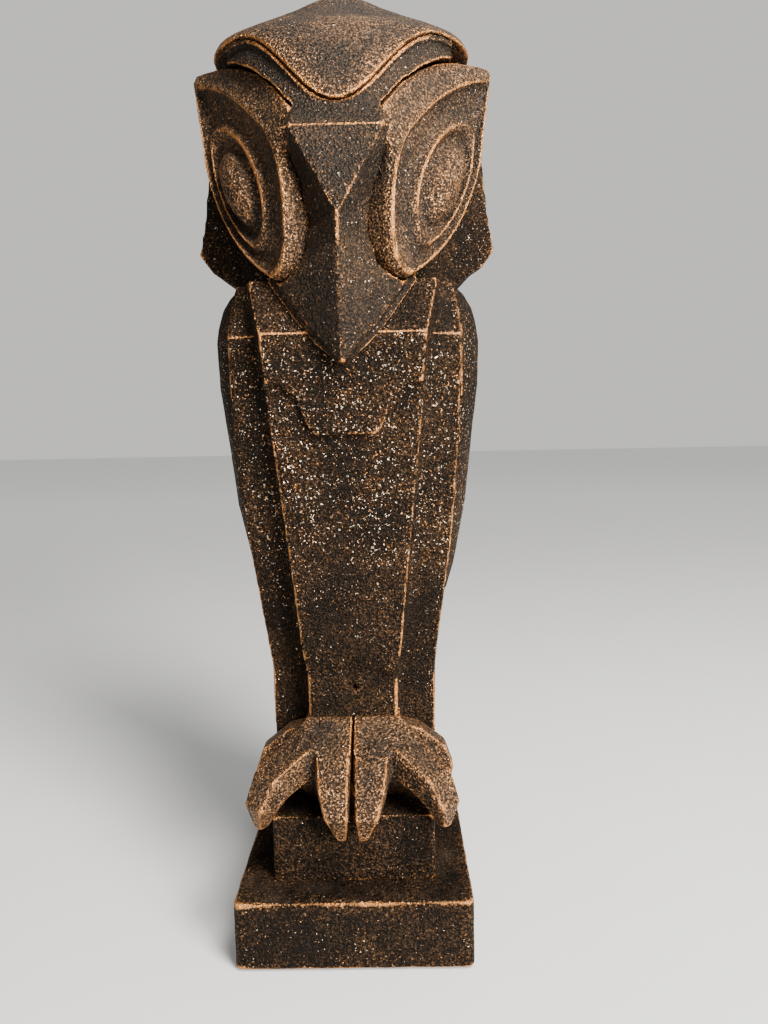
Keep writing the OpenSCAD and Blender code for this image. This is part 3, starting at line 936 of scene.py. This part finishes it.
class OWL_OT_head(Operator):
    """Cast the skull and the face mask"""

    bl_idname = "owl.head"
    bl_label = "Head"

    def execute(self, context):
        casting("head_shell", "Head_Skull", "Dark_Iron", "dark_iron", voxel=0.9 * MM)
        casting(
            "face_mask",
            "Head_Mask",
            "Smooth_Iron",
            "dark_iron",
            voxel=0.55 * MM,
            ridges=[BROW_RIDGE],
        )
        return {"FINISHED"}


class OWL_OT_eyes(Operator):
    """Cast both eye blocks"""

    bl_idname = "owl.eyes"
    bl_label = "Eyes"

    def execute(self, context):
        for side in ("left", "right"):
            name = f"Eye_{side.title()}"
            casting(f"eye_block_{side}", name, "Bronzed_Iron", "bronzed_iron", voxel=0.5 * MM)
        return {"FINISHED"}


class OWL_OT_crown(Operator):
    """Cast the crown"""

    bl_idname = "owl.crown"
    bl_label = "Crown"

    def execute(self, context):
        casting("crown_cap", "Head_Dome", "Bronzed_Iron", "bronzed_iron", voxel=0.65 * MM)
        return {"FINISHED"}


class OWL_OT_felt(Operator):
    """Lay the felt pad under the plinth, with soft matted faces and frayed rims"""

    bl_idname = "owl.felt"
    bl_label = "Felt pad"

    def execute(self, context):
        name = "Base_Felt_Pad"
        piece = new_piece(name, merged_copy("felt_pad", name), "Base_Felt")
        soften(piece, 0.55 * MM, 3)
        roughen(piece, clouds("Felt tufts", 1.6 * MM, 2), 0.25 * MM, 1.0)
        bake_modifiers(piece)
        shade_smooth(piece.data)
        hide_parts("felt_pad")
        return {"FINISHED"}


class OWL_OT_hardware(Operator):
    """Give the rod, screws, dowels and pins their steel"""

    bl_idname = "owl.hardware"
    bl_label = "Hardware"

    def execute(self, context):
        materials = owl_materials()
        for part in frame["record"]["subparts"]:
            if part["material_slot"] == "steel_hardware":
                mesh = frame["nodes"][part["node"]].data
                mesh.materials.clear()
                mesh.materials.append(materials["Fastener_Steel"])
        return {"FINISHED"}


# ---------- Stage ----------


def area_light(name, at, target, size, power, colour):
    """A soft rectangular light aimed at a point."""
    light = bpy.data.lights.new(name, "AREA")
    light.shape = "RECTANGLE"
    light.size, light.size_y = size
    light.energy = power
    light.color = colour
    lamp = bpy.data.objects.new(name, light)
    lamp.location = at
    lamp.rotation_euler = (Vector(target) - Vector(at)).to_track_quat("-Z", "Y").to_euler()
    bpy.context.scene.collection.objects.link(lamp)


def sun_light(name, towards, strength):
    """A wide soft light from a direction, the same all over the floor."""
    light = bpy.data.lights.new(name, "SUN")
    light.energy = strength
    light.angle = OVERHEAD_SPREAD
    lamp = bpy.data.objects.new(name, light)
    lamp.rotation_euler = Vector(towards).to_track_quat("Z", "Y").to_euler()
    bpy.context.scene.collection.objects.link(lamp)


class OWL_OT_stage(Operator):
    """Set up the floor, the lights and the camera"""

    bl_idname = "owl.stage"
    bl_label = "Stage"

    def execute(self, context):
        scene = context.scene
        stage = scene.owl_stage
        owl_materials()
        bm = bmesh.new()
        bmesh.ops.create_grid(bm, x_segments=1, y_segments=1, size=FLOOR_HALF)
        mesh = bpy.data.meshes.new("Stage_Floor")
        bm.to_mesh(mesh)
        bm.free()
        mesh.materials.append(bpy.data.materials["Stage_Floor"])
        floor = bpy.data.objects.new("Stage_Floor", mesh)
        scene.collection.objects.link(floor)

        low, high = CAD_BOX
        middle = (Vector(low) + Vector(high)) / 2
        left_side = Vector(high) / 2
        area_light(
            "Key",
            at=(0.72, -0.85, 0.50),
            target=middle,
            size=(0.45, 0.6),
            power=stage.key,
            colour=WARM_LIGHT,
        )
        area_light(
            "Fill",
            at=(-0.9, -0.7, 0.45),
            target=middle,
            size=(0.8, 0.8),
            power=stage.fill,
            colour=COOL_LIGHT,
        )
        area_light(
            "Brow",
            at=(0.22, -0.34, 0.72),
            target=left_side,
            size=(0.25, 0.25),
            power=stage.brow,
            colour=WARM_LIGHT,
        )
        sun_light("Overhead", towards=(0.55, -0.30, 1.0), strength=stage.overhead)
        world = bpy.data.worlds.new("Studio")
        world.use_nodes = True
        tree = world.node_tree
        tree.nodes.clear()
        seen = put(tree, "ShaderNodeLightPath").outputs["Is Camera Ray"]
        strength = put(
            tree,
            "ShaderNodeMapRange",
            None,
            Value=seen,
            To_Min=SKY_LIGHT,
            To_Max=SKY_SEEN,
        ).outputs[0]
        sky = put(tree, "ShaderNodeBackground", None, Color=SKY, Strength=strength)
        tree.links.new(sky.outputs[0], put(tree, "ShaderNodeOutputWorld").inputs["Surface"])
        scene.world = world

        camera = bpy.data.cameras.new("Camera")
        camera.lens = stage.lens
        camera.sensor_width = FILM_WIDTH
        camera.clip_start = NEAREST_SEEN
        viewer = bpy.data.objects.new("Camera", camera)
        pitch, roll, yaw = stage.aim
        turn = Matrix.Rotation(yaw, 4, "Z") @ Matrix.Rotation(pitch, 4, "X") @ Matrix.Rotation(roll, 4, "Z")
        viewer.matrix_world = Matrix.Translation(stage.eye) @ turn
        scene.collection.objects.link(viewer)
        scene.camera = viewer
        return {"FINISHED"}


class OWL_PT_parts(Panel):
    """Buttons and settings of the owl"""

    bl_idname = "OWL_PT_parts"
    bl_label = "Cast Owl"
    bl_space_type = "VIEW_3D"
    bl_region_type = "UI"
    bl_category = "Owl"

    def draw(self, context):
        column = self.layout.column(align=True)
        for step in STEPS:
            column.operator(step.bl_idname)
        for group in (context.scene.owl_casting, context.scene.owl_finish, context.scene.owl_stage):
            box = self.layout.box()
            for key in group.__annotations__:
                box.prop(group, key)


SETTINGS = {
    "owl_casting": OwlCastingSettings,
    "owl_finish": OwlFinishSettings,
    "owl_stage": OwlStageSettings,
}
STEPS = (
    OWL_OT_plinth,
    OWL_OT_body,
    OWL_OT_wings,
    OWL_OT_feet,
    OWL_OT_head,
    OWL_OT_eyes,
    OWL_OT_crown,
    OWL_OT_felt,
    OWL_OT_hardware,
    OWL_OT_stage,
)


def register():
    """Registers the settings, the operators and the panel."""
    for key, group in SETTINGS.items():
        bpy.utils.register_class(group)
        setattr(bpy.types.Scene, key, PointerProperty(type=group))
    for step in (*STEPS, OWL_PT_parts):
        bpy.utils.register_class(step)


def unregister():
    """Takes everything off again, last first."""
    for step in reversed((*STEPS, OWL_PT_parts)):
        bpy.utils.unregister_class(step)
    for key, group in reversed(SETTINGS.items()):
        delattr(bpy.types.Scene, key)
        bpy.utils.unregister_class(group)


def main():
    """Builds the whole owl and its stage."""
    register()
    for step in STEPS:
        family, action = step.bl_idname.split(".")
        getattr(getattr(bpy.ops, family), action)()


if __name__ == "__main__":
    main()
